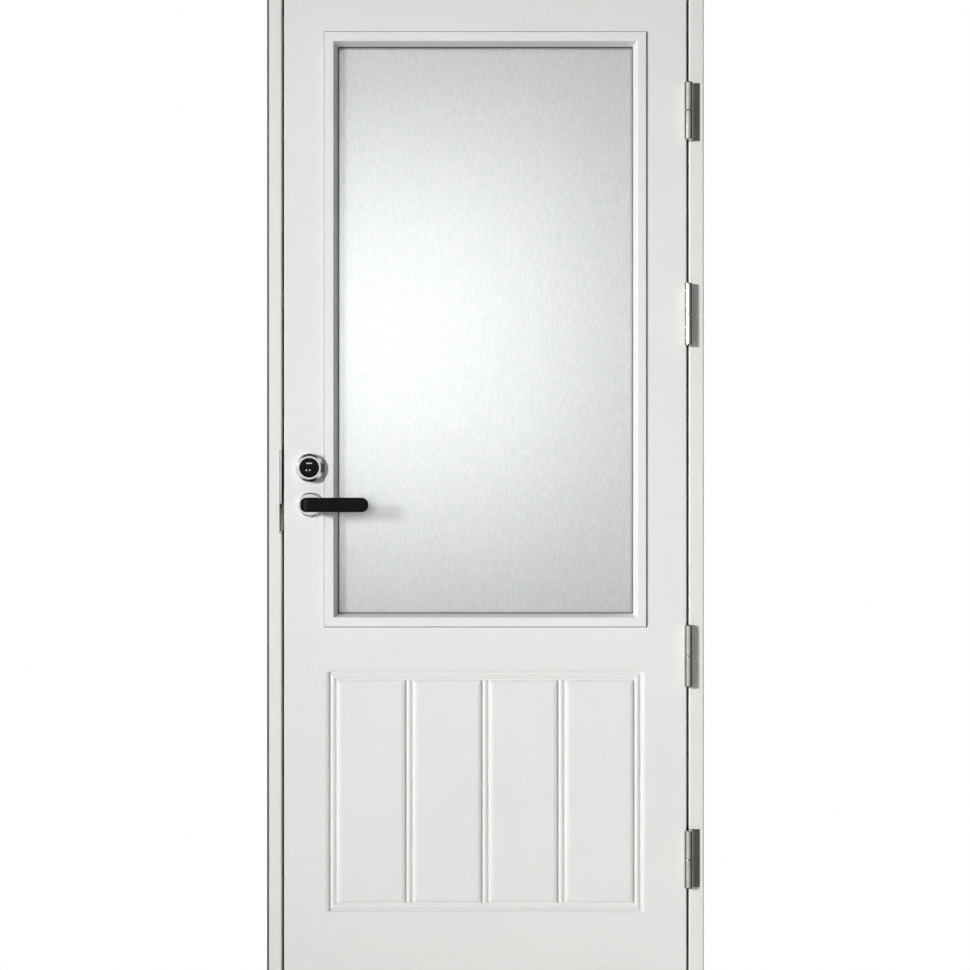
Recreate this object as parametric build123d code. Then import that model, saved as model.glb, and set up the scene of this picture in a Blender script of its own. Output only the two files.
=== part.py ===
"""Glazed timber fire door in its rebated frame, closed, seen from the side it opens to.

Millimetres. +X right, +Y into the wall, +Z up. The origin is the middle of the threshold's
underside. The leaf hangs on the right and swings out towards -Y.
"""
import os

from build123d import *

# Frame: rebated softwood jambs and head round a hardwood threshold
FRAME_WIDTH = 890.0
FRAME_HEIGHT = 2090.0
FRAME_DEPTH = 115.0
JAMB_FACE = 30.0
STOP_LAP = 18.0
FRAME_ARRIS = 2.5
THRESHOLD_HEIGHT = 20.0
THRESHOLD_STOP_HEIGHT = 32.0
THRESHOLD_NOSE = 5.0

# Running gaps round the closed leaf
LEAF_GAP = 5.0
STOP_GAP = 5.0

# Leaf: a timber carcass between two moulded skins, its lock edge bevelled to swing clear
LEAF_THICKNESS = 60.0
SKIN_THICKNESS = 8.0
LEAF_ARRIS = 2.0
LEAD_BEVEL = 3.0
BOTTOM_RAIL_HEIGHT = 130.0
MIDDLE_RAIL_HEIGHT = 100.0

# Glazing: one fire glass pane between mitred beads that lap over the skins
SIGHT_SIDE_MARGIN = 108.0
SIGHT_TOP_MARGIN = 118.0
SIGHT_RISE = 752.0
GLASS_THICKNESS = 17.0
GLASS_COVER = 10.0
BEAD_WIDTH = 26.0
BEAD_LAP = 12.0
BEAD_PROUD = 5.0
BEAD_OVOLO = 1.4
BEAD_QUIRK = 1.2
BEAD_FLAT = 16.0
BEAD_ROUND = 3.0
GLASS_SEAL_THICKNESS = 3.0
GLASS_SEAL_SHOW = 1.5

# Moulded panel below the glass: a bordering groove with dividers between equal boards
PANEL_SIDE_MARGIN = 100.0
PANEL_RISE = 155.0
PANEL_TOP_MARGIN = 127.0
PANEL_BOARDS = 4
GROOVE_WIDTH = 30.0
GROOVE_DEPTH = 6.4
SHOULDER_WIDTH = 5.5
SHOULDER_DEPTH = 1.6
GROOVE_WALL = 1.8
VALLEY_WIDTH = 1.6
GROOVE_BEAD_HEIGHT = 3.6
GROOVE_CORNER = 11.0

# Hinges: four lift-off barrels on one axis in front of the gap
END_HINGE_INSET = 255.0
INNER_HINGE_SPACING = 694.0
END_HINGE_LENGTH = 118.0
INNER_HINGE_LENGTH = 127.0
END_BARREL_RADIUS = 9.5
INNER_BARREL_RADIUS = 9.0
BARREL_STANDOFF = 10.2
BARREL_END_ROUND = 2.5
BARREL_JOINT_CHAMFER = 0.8
BARREL_JOINT_GAP = 2.2
HINGE_PIN_RADIUS = 5.0
HINGE_PIN_CLEARANCE = 0.05
HINGE_PIN_CAP = 10.0
FLAP_THICKNESS = 3.0
FLAP_DEPTH = 34.0
FACE_PLATE_WIDTH = 22.0

# Lever handle on round roses
LEVER_HEIGHT_ABOVE_FLOOR = 1000.0
BACKSET = 53.0
ROSE_RADIUS = 25.0
ROSE_THICKNESS = 9.0
ROSE_ROUND = 3.0
LEVER_LENGTH = 138.0
LEVER_TAIL = 16.0
LEVER_DEPTH = 29.0
LEVER_THICKNESS = 15.0
LEVER_STANDOFF = 44.0
LEVER_RETURN = 14.0
LEVER_BEND = 18.0
LEVER_INNER_BEND = 7.0
LEVER_TIP_RADIUS = 13.5
LEVER_TIP_EASE = 5.0
LEVER_TAIL_RADIUS = 13.5
LEVER_EDGE_ROUND = 4.0
LEVER_NECK_RADIUS = 10.5
LEVER_NECK_CLEARANCE = 0.3
SPINDLE_SIZE = 9.0
SPINDLE_SOCKET = 30.0
SPINDLE_CLEARANCE = 0.1
SPINDLE_HOLE_RADIUS = 9.0

# Key cylinder above the lever
CYLINDER_RISE = 75.0
CYLINDER_RING_RADIUS = 28.6
CYLINDER_RING_BEVEL_WIDTH = 5.2
CYLINDER_RING_BEVEL_DEPTH = 2.2
CYLINDER_RING_PROUD = 18.0
CYLINDER_FACE_RADIUS = 20.0
CYLINDER_FACE_SET_BACK = 0.8
CYLINDER_FACE_CLEARANCE = 0.2
CYLINDER_SEAT_DEPTH = 8.0
KEYWAY_WIDTH = 13.0
KEYWAY_HEIGHT = 3.0
KEYWAY_DEPTH = 4.0
KEYWAY_RISE = 9.0

# Lock front in the leaf's edge and the angled strike plate in the jamb
FOREND_LENGTH = 235.0
FOREND_WIDTH = 22.0
FOREND_THICKNESS = 3.0
FOREND_CORNER = 8.0
LATCH_HEIGHT = 32.0
LATCH_WIDTH = 13.0
LATCH_LENGTH = 22.0
LATCH_CLEARANCE = 0.5
STRIKE_DROP = 60.0
STRIKE_LENGTH = 172.0
STRIKE_THICKNESS = 3.0
STRIKE_DEPTH = 44.0
STRIKE_LIP = 5.0
STRIKE_KEEP_DEPTH = 16.0
STRIKE_KEEP_CLEARANCE = 4.0
LIP_NOTCH_LENGTH = 56.0
LIP_NOTCH_RISE = 6.0
LIP_NOTCH_DEPTH = 30.0

# Seals: a bulb seal in the stops and a swelling strip in the rebate
BULB_WIDTH = 8.0
BULB_CLEARANCE = 0.4
BULB_STEM_WIDTH = 4.0
BULB_STEM_DEPTH = 6.0
BULB_INSET = 6.0
BULB_END_GAP = 1.0
STRIP_WIDTH = 14.0
STRIP_THICKNESS = 2.0
STRIP_INSET = 3.0

# Frame fixings through the jambs, hidden by the closed leaf
FIXING_RADIUS = 7.0
FIXING_INSET = 17.0
FIXING_OUTER_SPACING = 1120.0
FIXING_INNER_SPACING = 320.0
FIXING_LOCK_RISE = 40.0

# Places worked out from the sizes above
FRONT = -FRAME_DEPTH / 2
BACK = FRAME_DEPTH / 2
FRAME_X = FRAME_WIDTH / 2
REBATE_X = FRAME_X - JAMB_FACE
STOP_X = REBATE_X - STOP_LAP
REBATE_Z = FRAME_HEIGHT - JAMB_FACE
STOP_Z = REBATE_Z - STOP_LAP
LEAF_X = REBATE_X - LEAF_GAP
LEAF_BOTTOM = THRESHOLD_HEIGHT + LEAF_GAP
LEAF_TOP = REBATE_Z - LEAF_GAP
LEAF_BACK = FRONT + LEAF_THICKNESS
LEAF_MIDDLE = FRONT + LEAF_THICKNESS / 2
CORE_FRONT = FRONT + SKIN_THICKNESS
CORE_BACK = LEAF_BACK - SKIN_THICKNESS
STOP_FACE = LEAF_BACK + STOP_GAP

SIGHT_X = LEAF_X - SIGHT_SIDE_MARGIN
SIGHT_BOTTOM = LEAF_BOTTOM + SIGHT_RISE
SIGHT_TOP = LEAF_TOP - SIGHT_TOP_MARGIN
APERTURE_MARGIN = BEAD_WIDTH - BEAD_LAP
APERTURE_X = SIGHT_X + APERTURE_MARGIN
APERTURE_BOTTOM = SIGHT_BOTTOM - APERTURE_MARGIN
APERTURE_TOP = SIGHT_TOP + APERTURE_MARGIN
GLASS_FRONT = LEAF_MIDDLE - GLASS_THICKNESS / 2
GLASS_BACK = LEAF_MIDDLE + GLASS_THICKNESS / 2
BEAD_SEAT = GLASS_FRONT - GLASS_SEAL_THICKNESS

PANEL_WIDTH = 2 * (LEAF_X - PANEL_SIDE_MARGIN)
PANEL_BOTTOM = LEAF_BOTTOM + PANEL_RISE
PANEL_HEIGHT = SIGHT_BOTTOM - PANEL_TOP_MARGIN - PANEL_BOTTOM

BOTTOM_RAIL_TOP = LEAF_BOTTOM + BOTTOM_RAIL_HEIGHT
MIDDLE_RAIL_BOTTOM = APERTURE_BOTTOM - MIDDLE_RAIL_HEIGHT

HINGE_X = REBATE_X - LEAF_GAP / 2
HINGE_Y = FRONT - BARREL_STANDOFF
HINGE_MIDDLE = (LEAF_BOTTOM + LEAF_TOP) / 2
INNER_HINGE_OFFSET = INNER_HINGE_SPACING / 2
HINGES = {
    "top": (LEAF_TOP - END_HINGE_INSET, END_HINGE_LENGTH, END_BARREL_RADIUS, True),
    "upper": (HINGE_MIDDLE + INNER_HINGE_OFFSET, INNER_HINGE_LENGTH, INNER_BARREL_RADIUS, False),
    "lower": (HINGE_MIDDLE - INNER_HINGE_OFFSET, INNER_HINGE_LENGTH, INNER_BARREL_RADIUS, False),
    "bottom": (LEAF_BOTTOM + END_HINGE_INSET, END_HINGE_LENGTH, END_BARREL_RADIUS, True),
}

LEVER_X = -LEAF_X + BACKSET
LEVER_Z = LEVER_HEIGHT_ABOVE_FLOOR
CYLINDER_Z = LEVER_Z + CYLINDER_RISE
STRIKE_BOTTOM = LEVER_Z - STRIKE_DROP
LOCK_EDGE = Plane(
    origin=(-LEAF_X + LEAD_BEVEL / 2, LEAF_MIDDLE, LEVER_Z + CYLINDER_RISE / 2),
    x_dir=(0, 0, 1),
    z_dir=(-LEAF_THICKNESS, LEAD_BEVEL, 0),
)
LATCH_PLACE = Pos(-CYLINDER_RISE / 2, 0)
LEAF_CENTRE_PLANE = Plane(origin=(0, LEAF_MIDDLE, 0), z_dir=(0, 1, 0))
THROUGH = 2 * FRAME_DEPTH

# Share of a rounding's radius at which its middle lies in from the sharp corner
ROUND_MIDDLE = 1 - 0.5 ** 0.5


def block(x_range, y_range, z_range):
    """A box between the given limits."""
    size = [high - low for low, high in (x_range, y_range, z_range)]
    centre = [(high + low) / 2 for low, high in (x_range, y_range, z_range)]
    return Pos(*centre) * Box(*size)


def to_back(shape):
    """The same piece on the far side of the leaf."""
    return mirror(shape, about=LEAF_CENTRE_PLANE)


def mitred_bar(section, length):
    """A bar along X with 45 degree mitres, from a section drawn in YZ.

    The length is measured on the line Z = 0, and the mitres shorten the bar towards +Z.
    """
    bar = extrude(section, amount=length, both=True)
    low = section.bounding_box().min.Z
    high = section.bounding_box().max.Z
    corners = [(side * (length / 2 - z), z) for side, z in ((-1, low), (1, low), (1, high), (-1, high))]
    mitres = extrude(Plane.XZ * Polygon(*corners, align=None), amount=THROUGH, both=True)
    return bar & mitres


def mitred_frame(section, width, height, bottom):
    """Four mitred bars round a rectangle whose sides are the section's line Z = 0."""
    middle = bottom + height / 2
    return {
        "bottom": Pos(0, 0, bottom) * mitred_bar(section, width),
        "top": Pos(0, 0, bottom + height) * Rot(0, 180, 0) * mitred_bar(section, width),
        "left": Pos(-width / 2, 0, middle) * Rot(0, 90, 0) * mitred_bar(section, height),
        "right": Pos(width / 2, 0, middle) * Rot(0, -90, 0) * mitred_bar(section, height),
    }


def jamb_blank():
    """The right jamb's rebated length, with its front arrises rounded."""
    outline = Polygon(
        (FRAME_X, FRONT), (FRAME_X, BACK), (STOP_X, BACK), (STOP_X, STOP_FACE),
        (REBATE_X, STOP_FACE), (REBATE_X, FRONT), align=None,
    )
    rounded = fillet(outline.vertices().group_by(Axis.Y)[0], FRAME_ARRIS)
    return extrude(rounded, amount=FRAME_HEIGHT)


def jamb_grooves(inner_fixings):
    """Cuts in the right jamb: seal groove, swelling strip groove and two pairs of fixing holes.

    The inner pair lies about the given height.
    """
    seal_x = STOP_X + BULB_INSET
    cuts = block(
        (seal_x - BULB_STEM_WIDTH / 2, seal_x + BULB_STEM_WIDTH / 2),
        (STOP_FACE - STOP_GAP, STOP_FACE + BULB_STEM_DEPTH), (THRESHOLD_STOP_HEIGHT, REBATE_Z),
    )
    cuts += strip_bar()
    pairs = ((HINGE_MIDDLE, FIXING_OUTER_SPACING), (inner_fixings, FIXING_INNER_SPACING))
    for middle, spacing in pairs:
        for side in (-1, 1):
            place = Pos(FRAME_X, FRONT + FIXING_INSET, middle + side * spacing / 2)
            cuts += place * Rot(0, 90, 0) * Cylinder(FIXING_RADIUS, 2 * JAMB_FACE + 2 * STOP_LAP)
    return cuts


def strip_bar():
    """The swelling strip let into the right jamb's rebate."""
    return block(
        (REBATE_X, REBATE_X + STRIP_THICKNESS),
        (STOP_FACE - STRIP_INSET - STRIP_WIDTH, STOP_FACE - STRIP_INSET),
        (THRESHOLD_HEIGHT, REBATE_Z),
    )


def hinge_jamb():
    jamb = jamb_blank() - jamb_grooves(HINGE_MIDDLE)
    for middle, length, _, has_plate in HINGES.values():
        jamb -= frame_flap(middle, length, has_plate)
    return jamb


def latch_jamb():
    jamb = mirror(jamb_blank() - jamb_grooves(LEVER_Z + FIXING_LOCK_RISE), about=Plane.YZ)
    return jamb - strike_blank() - lip_notch() - latch_keep(STRIKE_KEEP_DEPTH)


def head():
    """The head, cut square between the jambs and rebated like them."""
    front = block((-REBATE_X, REBATE_X), (FRONT, STOP_FACE), (REBATE_Z, FRAME_HEIGHT))
    stop = block((-STOP_X, STOP_X), (STOP_FACE, BACK), (STOP_Z, FRAME_HEIGHT))
    blank = front + stop
    arrises = blank.edges().filter_by(Axis.X).group_by(Axis.Y)[0]
    blank = fillet(arrises, FRAME_ARRIS)
    return blank - head_seal_groove() - head_strip()


def head_seal_groove():
    seal_z = STOP_Z + BULB_INSET
    return block(
        (-STOP_X, STOP_X), (STOP_FACE - STOP_GAP, STOP_FACE + BULB_STEM_DEPTH),
        (seal_z - BULB_STEM_WIDTH / 2, seal_z + BULB_STEM_WIDTH / 2),
    )


def head_strip():
    return block(
        (-REBATE_X + STRIP_INSET, REBATE_X - STRIP_INSET),
        (STOP_FACE - STRIP_INSET - STRIP_WIDTH, STOP_FACE - STRIP_INSET),
        (REBATE_Z, REBATE_Z + STRIP_THICKNESS),
    )


def threshold():
    """A hardwood threshold with a low stop behind the leaf and a bevelled nose."""
    front = block((-REBATE_X, REBATE_X), (FRONT, STOP_FACE), (0, THRESHOLD_HEIGHT))
    stop = block((-STOP_X, STOP_X), (STOP_FACE, BACK), (0, THRESHOLD_STOP_HEIGHT))
    blank = front + stop
    nose = blank.edges().filter_by(Axis.X).group_by(Axis.Y)[0].sort_by(Axis.Z)[-1]
    return chamfer(nose, THRESHOLD_NOSE)


def bulb_length(length):
    """A length of stop seal along Z, a half-round bulb on a stem; Y = 0 is the stop's face."""
    reach = STOP_GAP - BULB_CLEARANCE
    half = BULB_WIDTH / 2
    bulb = Line((half, 0), (-half, 0)) + ThreePointArc((-half, 0), (0, -reach), (half, 0))
    stem = Pos(0, BULB_STEM_DEPTH / 2) * Rectangle(BULB_STEM_WIDTH, BULB_STEM_DEPTH)
    return extrude(make_face(bulb) + stem, amount=length / 2, both=True)


def rebate_seal():
    """Three lengths of bulb seal in the stops of the jambs and the head."""
    seal_x = STOP_X + BULB_INSET
    seal_z = STOP_Z + BULB_INSET
    height = REBATE_Z - THRESHOLD_STOP_HEIGHT - BULB_END_GAP
    post = Pos(seal_x, STOP_FACE, THRESHOLD_STOP_HEIGHT + height / 2) * bulb_length(height)
    across = Pos(0, STOP_FACE, seal_z) * Rot(0, 90, 0) * bulb_length(2 * (STOP_X - BULB_END_GAP))
    return Compound([post.solid(), mirror(post, about=Plane.YZ).solid(), across.solid()])


def swelling_strips():
    """Three flush strips in the rebate that swell shut in a fire."""
    post = strip_bar()
    return Compound([post.solid(), mirror(post, about=Plane.YZ).solid(), head_strip().solid()])


def frame_flap(middle, length, has_plate):
    """The hinge's plate in the jamb, angled round the arris on the two end hinges."""
    tall = (middle - length / 2, middle + length / 2)
    flap = block((REBATE_X, REBATE_X + FLAP_THICKNESS), (FRONT, FRONT + FLAP_DEPTH), tall)
    if has_plate:
        flap += block((REBATE_X, REBATE_X + FACE_PLATE_WIDTH), (FRONT, FRONT + FLAP_THICKNESS), tall)
    return flap


def leaf_flap(middle, length):
    tall = (middle - length / 2, middle + length / 2)
    return block((LEAF_X - FLAP_THICKNESS, LEAF_X), (FRONT, FRONT + FLAP_DEPTH), tall)


def turned(*profile):
    """A piece turned about Z from a profile of radius and height."""
    return revolve(Plane.XZ * Polygon(*profile, align=None), axis=Axis.Z)


def barrel_half(radius, length):
    """Half a barrel on Z, its free end eased at the bottom and its joint end at the top."""
    ease = BARREL_END_ROUND
    part_way = ROUND_MIDDLE * ease
    return turned(
        (0, -length), (radius - ease, -length), (radius - part_way, part_way - length),
        (radius, ease - length), (radius, -BARREL_JOINT_CHAMFER), (radius - BARREL_JOINT_CHAMFER, 0), (0, 0),
    )


def hinge_frame_half(middle, length, radius, has_plate):
    """Lower barrel half with the pin, on the plate in the jamb."""
    half_length = (length - BARREL_JOINT_GAP) / 2
    joint = Pos(HINGE_X, HINGE_Y, middle - BARREL_JOINT_GAP / 2)
    barrel = joint * barrel_half(radius, half_length)
    pin_length = length / 2 - HINGE_PIN_CAP
    pin = joint * Pos(0, 0, (pin_length - half_length) / 2) * Cylinder(
        HINGE_PIN_RADIUS, pin_length + half_length - 2 * BARREL_END_ROUND
    )
    web = block(
        (REBATE_X, REBATE_X + FLAP_THICKNESS), (HINGE_Y, FRONT + FLAP_THICKNESS),
        (middle - length / 2 + BARREL_END_ROUND, middle - BARREL_JOINT_CHAMFER - BARREL_JOINT_GAP),
    )
    return frame_flap(middle, length, has_plate) + web + barrel + pin


def hinge_leaf_half(middle, length, radius):
    """Upper barrel half, bored for the pin, on the plate in the leaf's edge."""
    half_length = (length - BARREL_JOINT_GAP) / 2
    joint = Pos(HINGE_X, HINGE_Y, middle + BARREL_JOINT_GAP / 2)
    barrel = joint * Rot(180, 0, 0) * barrel_half(radius, half_length)
    web = block(
        (LEAF_X - FLAP_THICKNESS, LEAF_X), (HINGE_Y, FRONT + FLAP_THICKNESS),
        (middle + BARREL_JOINT_CHAMFER + BARREL_JOINT_GAP, middle + length / 2 - BARREL_END_ROUND),
    )
    bore_length = length - HINGE_PIN_CAP
    bore = Pos(HINGE_X, HINGE_Y, middle) * Cylinder(HINGE_PIN_RADIUS + HINGE_PIN_CLEARANCE, bore_length)
    return leaf_flap(middle, length) + web + barrel - bore


def leaf_outline(y_range):
    """The leaf's plan between two depths, with the bevelled lock edge on the left."""
    corners = [(LEAF_X, y) for y in y_range]
    for y in reversed(y_range):
        corners.append((-LEAF_X + LEAD_BEVEL * (y - FRONT) / LEAF_THICKNESS, y))
    return Polygon(*corners, align=None)


def leaf_slab(y_range, z_range):
    return Pos(0, 0, z_range[0]) * extrude(leaf_outline(y_range), amount=z_range[1] - z_range[0])


def spindle_hole():
    return Pos(LEVER_X, LEAF_MIDDLE, LEVER_Z) * Rot(90, 0, 0) * Cylinder(SPINDLE_HOLE_RADIUS, LEAF_THICKNESS)


def lock_stile():
    """The left stile, housing the lock front, the latch and the spindle."""
    height = (LEAF_BOTTOM, LEAF_TOP)
    slab = leaf_slab((CORE_FRONT, CORE_BACK), height)
    stile = slab & block((-LEAF_X, -APERTURE_X), (FRONT, LEAF_BACK), height)
    return stile - forend_blank() - latch_slot(LATCH_LENGTH + LATCH_CLEARANCE) - spindle_hole()


def hinge_stile():
    """The right stile, housing the four hinge plates."""
    stile = block((APERTURE_X, LEAF_X), (CORE_FRONT, CORE_BACK), (LEAF_BOTTOM, LEAF_TOP))
    for middle, length, _, _ in HINGES.values():
        stile -= leaf_flap(middle, length)
    return stile


def rail(low, high):
    return block((-APERTURE_X, APERTURE_X), (CORE_FRONT, CORE_BACK), (low, high))


def groove_section():
    """The moulded groove across Z at the leaf's face: shoulders, walls and a low middle bead."""
    edge = GROOVE_WIDTH / 2
    shoulder = edge - SHOULDER_WIDTH
    foot = shoulder - GROOVE_WALL
    bead = foot - VALLEY_WIDTH
    floor = FRONT + GROOVE_DEPTH
    ledge = FRONT + SHOULDER_DEPTH
    crown = floor - GROOVE_BEAD_HEIGHT
    lid = FRONT - SHOULDER_DEPTH
    near = [(floor, -bead), (floor, -foot), (ledge, -shoulder), (FRONT, -edge), (lid, -edge)]
    far = [(y, -z) for y, z in reversed(near)]
    outline = Polyline(*near, *far) + ThreePointArc((floor, bead), (crown, 0), (floor, -bead))
    return Plane.YZ * make_face(outline)


def panel_grooves():
    """Border and dividers of the moulded panel, as one cut in the front face."""
    section = groove_section()
    border = mitred_frame(section, PANEL_WIDTH, PANEL_HEIGHT, PANEL_BOTTOM)
    middle = PANEL_BOTTOM + PANEL_HEIGHT / 2
    rounded = Pos(0, FRONT, middle) * Rot(90, 0, 0) * extrude(
        RectangleRounded(PANEL_WIDTH + GROOVE_WIDTH, PANEL_HEIGHT + GROOVE_WIDTH, GROOVE_CORNER),
        amount=SKIN_THICKNESS, both=True,
    )
    cuts = [bar & rounded for bar in border.values()]
    valley = GROOVE_WIDTH / 2 - SHOULDER_WIDTH - GROOVE_WALL
    divider = extrude(section, amount=PANEL_HEIGHT / 2 - valley, both=True)
    pitch = PANEL_WIDTH / PANEL_BOARDS
    for number in range(1, PANEL_BOARDS):
        cuts.append(Pos(number * pitch - PANEL_WIDTH / 2, 0, middle) * Rot(0, 90, 0) * divider)
    return cuts


def front_skin():
    """The moulded front board with its window cut-out."""
    skin = leaf_slab((FRONT, CORE_FRONT), (LEAF_BOTTOM, LEAF_TOP))
    arrises = skin.faces().sort_by(Axis.Y)[0].edges()
    skin = fillet(arrises, LEAF_ARRIS)
    skin -= block((-APERTURE_X, APERTURE_X), (FRONT, CORE_FRONT), (APERTURE_BOTTOM, APERTURE_TOP))
    skin -= spindle_hole()
    for middle, length, _, _ in HINGES.values():
        skin -= leaf_flap(middle, length)
    for groove in panel_grooves():
        skin -= groove
    return skin


def back_skin():
    """The back board, moulded like the front one."""
    skin = leaf_slab((CORE_BACK, LEAF_BACK), (LEAF_BOTTOM, LEAF_TOP))
    arrises = skin.faces().sort_by(Axis.Y)[-1].edges()
    skin = fillet(arrises, LEAF_ARRIS)
    skin -= block((-APERTURE_X, APERTURE_X), (CORE_BACK, LEAF_BACK), (APERTURE_BOTTOM, APERTURE_TOP))
    skin -= spindle_hole()
    for groove in panel_grooves():
        skin -= to_back(groove)
    return skin


def fire_glass():
    edge = GLASS_COVER
    return block(
        (-SIGHT_X - edge, SIGHT_X + edge), (GLASS_FRONT, GLASS_BACK),
        (SIGHT_BOTTOM - edge, SIGHT_TOP + edge),
    )


def glass_seal():
    """The dark seal between bead and glass, showing as a thin line inside the bead."""
    show = GLASS_SEAL_SHOW
    edge = GLASS_COVER
    depth = (BEAD_SEAT, GLASS_FRONT)
    outer = block((-SIGHT_X - edge, SIGHT_X + edge), depth, (SIGHT_BOTTOM - edge, SIGHT_TOP + edge))
    inner = block((-SIGHT_X + show, SIGHT_X - show), depth, (SIGHT_BOTTOM + show, SIGHT_TOP - show))
    return outer - inner


def bead_section():
    """The bead across Z from its outer edge: ovolo, quirk, flat, rounded lip and splayed reveal."""
    crown = FRONT - BEAD_PROUD
    ovolo_top = crown + BEAD_QUIRK
    lip = BEAD_OVOLO + BEAD_FLAT
    round_end = lip + BEAD_ROUND
    ovolo = TangentArc((FRONT, 0), (ovolo_top, BEAD_OVOLO), tangent=(-1, 0))
    face = Polyline((ovolo_top, BEAD_OVOLO), (crown, BEAD_OVOLO), (crown, lip))
    rounding = TangentArc((crown, lip), (crown + BEAD_ROUND, round_end), tangent=(0, 1))
    body = Polyline(
        (crown + BEAD_ROUND, round_end), (BEAD_SEAT, BEAD_WIDTH), (BEAD_SEAT, BEAD_LAP),
        (FRONT, BEAD_LAP), (FRONT, 0),
    )
    return Plane.YZ * make_face(ovolo + face + rounding + body)


def front_beads():
    width = 2 * (SIGHT_X + BEAD_WIDTH)
    height = SIGHT_TOP - SIGHT_BOTTOM + 2 * BEAD_WIDTH
    return mitred_frame(bead_section(), width, height, SIGHT_BOTTOM - BEAD_WIDTH)


def forend_blank():
    """The lock front's outline, flush in the bevelled edge."""
    outline = RectangleRounded(FOREND_LENGTH, FOREND_WIDTH, FOREND_CORNER)
    return extrude(LOCK_EDGE * outline, amount=-FOREND_THICKNESS)


def latch_slot(depth):
    return extrude(LOCK_EDGE * LATCH_PLACE * Rectangle(LATCH_HEIGHT, LATCH_WIDTH), amount=-depth)


def lock_forend():
    return forend_blank() - latch_slot(FOREND_THICKNESS)


def latch_bolt():
    """The latch, drawn in flush with the lock front."""
    outline = Rectangle(LATCH_HEIGHT - 2 * LATCH_CLEARANCE, LATCH_WIDTH - 2 * LATCH_CLEARANCE)
    return extrude(LOCK_EDGE * LATCH_PLACE * outline, amount=-LATCH_LENGTH)


def strike_blank():
    """An angle of sheet steel let into the jamb's rebate and round its arris."""
    tall = (STRIKE_BOTTOM, STRIKE_BOTTOM + STRIKE_LENGTH)
    plate = block((-REBATE_X - STRIKE_THICKNESS, -REBATE_X), (FRONT, FRONT + STRIKE_DEPTH), tall)
    lip = block((-REBATE_X - STRIKE_LIP, -REBATE_X), (FRONT, FRONT + STRIKE_THICKNESS), tall)
    return plate + lip


def lip_notch():
    """The notch where the latch runs in past the lip."""
    low = STRIKE_BOTTOM + LIP_NOTCH_RISE
    return block(
        (-REBATE_X - STRIKE_LIP, -REBATE_X), (FRONT, FRONT + LIP_NOTCH_DEPTH), (low, low + LIP_NOTCH_LENGTH)
    )


def latch_keep(depth):
    """The pocket that takes the thrown latch."""
    half_tall = LATCH_HEIGHT / 2 + STRIKE_KEEP_CLEARANCE
    half_wide = LATCH_WIDTH / 2 + STRIKE_KEEP_CLEARANCE
    return block(
        (-REBATE_X - depth, -REBATE_X), (LEAF_MIDDLE - half_wide, LEAF_MIDDLE + half_wide),
        (LEVER_Z - half_tall, LEVER_Z + half_tall),
    )


def strike_plate():
    return strike_blank() - lip_notch() - latch_keep(STRIKE_THICKNESS)


def rose():
    """The round rose that guides the lever's neck."""
    bore = LEVER_NECK_RADIUS + LEVER_NECK_CLEARANCE
    part_way = ROUND_MIDDLE * ROSE_ROUND
    ring = turned(
        (bore, 0), (ROSE_RADIUS, 0), (ROSE_RADIUS, ROSE_THICKNESS - ROSE_ROUND),
        (ROSE_RADIUS - part_way, ROSE_THICKNESS - part_way),
        (ROSE_RADIUS - ROSE_ROUND, ROSE_THICKNESS), (bore, ROSE_THICKNESS),
    )
    return Pos(LEVER_X, FRONT, LEVER_Z) * Rot(90, 0, 0) * ring


def lever_plan():
    """The lever seen from above: a flat grip along X, bent back at its tail; Y is out from the leaf."""
    tip = LEVER_LENGTH - LEVER_TAIL
    crown = LEVER_STANDOFF + LEVER_THICKNESS
    heel = LEVER_STANDOFF - LEVER_RETURN
    outline = Polygon(
        (-LEVER_TAIL, heel), (LEVER_NECK_RADIUS, heel), (LEVER_NECK_RADIUS, LEVER_STANDOFF),
        (tip, LEVER_STANDOFF), (tip, crown), (-LEVER_TAIL, crown), align=None,
    )
    outline = fillet(outline.vertices().group_by(Axis.X)[-1], LEVER_TIP_EASE)
    tail = outline.vertices().group_by(Axis.X)[0].sort_by(Axis.Y)
    outline = fillet(tail[-1], LEVER_BEND)
    crook = outline.vertices().sort_by_distance((LEVER_NECK_RADIUS, LEVER_STANDOFF))[0]
    return fillet(crook, LEVER_INNER_BEND)


def lever():
    """The cast lever: a round-ended grip bent back into a round neck with a square socket."""
    bar = extrude(Plane.XZ * lever_plan(), amount=LEVER_DEPTH / 2, both=True)
    sides = bar.faces().sort_by(Axis.Y)
    bar = fillet(sides[0].edges() + sides[-1].edges(), LEVER_EDGE_ROUND)
    front = Pos(LEVER_LENGTH / 2 - LEVER_TAIL, 0) * Rectangle(LEVER_LENGTH, LEVER_DEPTH)
    front = fillet(front.vertices().group_by(Axis.X)[-1], LEVER_TIP_RADIUS)
    front = fillet(front.vertices().group_by(Axis.X)[0], LEVER_TAIL_RADIUS)
    grip = bar & extrude(front, amount=LEVER_STANDOFF + LEVER_THICKNESS)
    reach = LEVER_STANDOFF - LEVER_NECK_CLEARANCE
    neck = Pos(0, 0, LEVER_NECK_CLEARANCE + reach / 2) * Cylinder(LEVER_NECK_RADIUS, reach)
    side = SPINDLE_SIZE + 2 * SPINDLE_CLEARANCE
    socket = Pos(0, 0, SPINDLE_SOCKET / 2) * Box(side, side, SPINDLE_SOCKET)
    return Pos(LEVER_X, FRONT, LEVER_Z) * Rot(90, 0, 0) * (grip + neck - socket)


def spindle():
    length = LEAF_THICKNESS + 2 * (SPINDLE_SOCKET - SPINDLE_CLEARANCE)
    return Pos(LEVER_X, LEAF_MIDDLE, LEVER_Z) * Box(SPINDLE_SIZE, length, SPINDLE_SIZE)


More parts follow.
